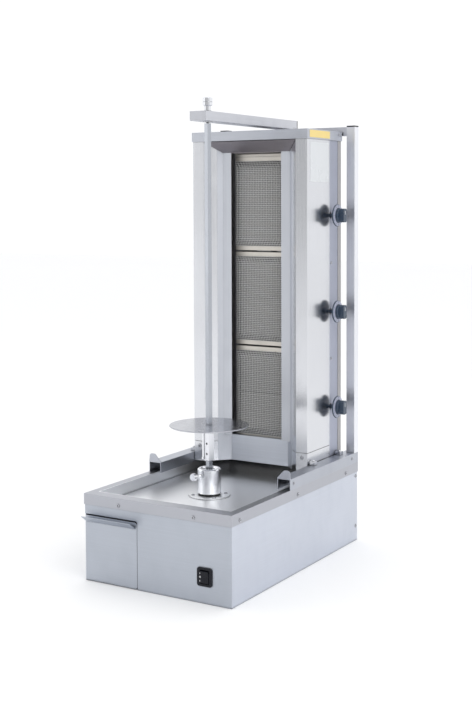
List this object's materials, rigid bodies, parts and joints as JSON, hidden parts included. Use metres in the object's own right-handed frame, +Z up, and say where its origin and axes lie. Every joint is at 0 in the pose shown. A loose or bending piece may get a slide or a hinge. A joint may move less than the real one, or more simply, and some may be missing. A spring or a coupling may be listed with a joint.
{
  "type": "vertical rotisserie broiler",
  "caption": "Upright gas broiler with a sliding burner tower on rails, a powered spit with a meat disc, a drip recess and a drip drawer in a steel base.",
  "frame": {"origin": "centre of the base's underside, on the counter", "axes": "+Z up, -Y to the front where the drawer and switch are, +X to the side with the knobs"},
  "size_m": [0.364, 0.5803, 1.002],
  "materials": {
    "cabinet_steel": "brushed",
    "pan_steel": "polished",
    "frame_steel": "brushed",
    "tower_steel": "brushed",
    "reflector_steel": "bright",
    "hood_steel": "heat tinted",
    "strip_steel": "blue grey film",
    "cover_steel": "brushed",
    "burner_steel": "heat tinted",
    "ceramic": "matt, perforated",
    "mesh_wire": "oxidised wire",
    "gas_brass": "cast",
    "tube_aluminium": "satin",
    "knob_plastic": "satin dark blue",
    "black_plastic": "matt",
    "chrome_parts": "polished",
    "screw_steel": "plated",
    "seal_rubber": "matt",
    "gearbox_paint": "satin grey",
    "motor_paint": "satin black"
  },
  "bodies": {
    "base": {"base_floor": "cabinet_steel", "base_front_panel": "cabinet_steel", "base_left_panel": "cabinet_steel", "base_rear_panel": "cabinet_steel", "base_right_panel": "cabinet_steel", "cabinet_screws": "screw_steel", "cable_gland": "black_plastic", "cup_flange": "pan_steel", "drawer_bay": "cabinet_steel", "drive_motor": "motor_paint", "flange_screws": "screw_steel", "gearbox_housing": "gearbox_paint", "rail_left": "cabinet_steel", "rail_right": "cabinet_steel", "rear_crossbar": "frame_steel", "rear_post_left": "frame_steel", "rear_post_right": "frame_steel", "shaft_seal": "seal_rubber", "switch_bezel": "black_plastic", "top_arm": "frame_steel", "top_pan": "pan_steel", "tube_end_caps": "black_plastic", "upper_bush": "chrome_parts"},
    "burner_tower": {"tower_side_left": "tower_steel", "tower_side_right": "tower_steel", "foot_plates": "tower_steel", "wing_left": "reflector_steel", "wing_right": "reflector_steel", "control_strip_left": "strip_steel", "control_strip_right": "strip_steel", "top_cap": "tower_steel", "hood": "hood_steel", "apron": "tower_steel", "tower_floor": "tower_steel", "tower_rear_cover": "cover_steel", "burner_box_top": "burner_steel", "burner_box_middle": "burner_steel", "burner_box_bottom": "burner_steel", "ceramic_tiles": "ceramic", "burner_meshes": "mesh_wire", "gas_manifold": "burner_steel", "gas_valves": "gas_brass", "injector_tubes": "tube_aluminium", "thermocouples": "chrome_parts", "rail_shoes": "chrome_parts", "tower_screws": "screw_steel"},
    "top_knob": {"knob_top": "knob_plastic"},
    "middle_knob": {"knob_middle": "knob_plastic"},
    "bottom_knob": {"knob_bottom": "knob_plastic"},
    "drawer": {"drip_tray": "tube_aluminium", "drawer_front": "cabinet_steel"},
    "rocker": {"switch_rocker": "black_plastic"},
    "spit": {"drive_shaft": "chrome_parts", "drive_cup": "chrome_parts", "spit_bar": "frame_steel"},
    "disc": {"meat_disc": "chrome_parts", "disc_sleeve": "frame_steel", "disc_clip": "chrome_parts"},
    "thumbscrew": {"cup_thumbscrew": "chrome_parts"},
    "pivot_pin": {"top_pivot_pin": "chrome_parts"}
  },
  "joints": [
    {"name": "tower_slide", "type": "slide", "parent": "base", "child": "burner_tower", "axis": [0, 1, 0], "range_m": [-0.11, 0]},
    {"name": "drawer_slide", "type": "slide", "parent": "base", "child": "drawer", "axis": [0, -1, 0], "range_m": [0, 0.24]},
    {"name": "spit_turn", "type": "hinge", "parent": "base", "child": "spit", "pos_m": [0, -0.078, 0.2], "axis": [0, 0, 1], "continuous": true},
    {"name": "disc_height", "type": "slide", "parent": "spit", "child": "disc", "axis": [0, 0, 1], "range_m": [0, 0.35]},
    {"name": "thumbscrew_turn", "type": "hinge", "parent": "spit", "child": "thumbscrew", "pos_m": [0, -0.078, 0.203], "axis": [-0.2419, -0.9703, 0], "range_deg": [0, 720]},
    {"name": "pivot_pin_lift", "type": "slide", "parent": "base", "child": "pivot_pin", "axis": [0, 0, 1], "range_m": [0, 0.022]},
    {"name": "switch_rock", "type": "hinge", "parent": "base", "child": "rocker", "pos_m": [0.1165, -0.2725, 0.053], "axis": [1, 0, 0], "range_deg": [-8, 8]},
    {"name": "bottom_knob_turn", "type": "hinge", "parent": "burner_tower", "child": "bottom_knob", "pos_m": [0.147, 0.204, 0.319], "axis": [1, 0, 0], "range_deg": [0, 180]},
    {"name": "middle_knob_turn", "type": "hinge", "parent": "burner_tower", "child": "middle_knob", "pos_m": [0.147, 0.204, 0.535], "axis": [1, 0, 0], "range_deg": [0, 180]},
    {"name": "top_knob_turn", "type": "hinge", "parent": "burner_tower", "child": "top_knob", "pos_m": [0.147, 0.204, 0.751], "axis": [1, 0, 0], "range_deg": [0, 180]}
  ]
}
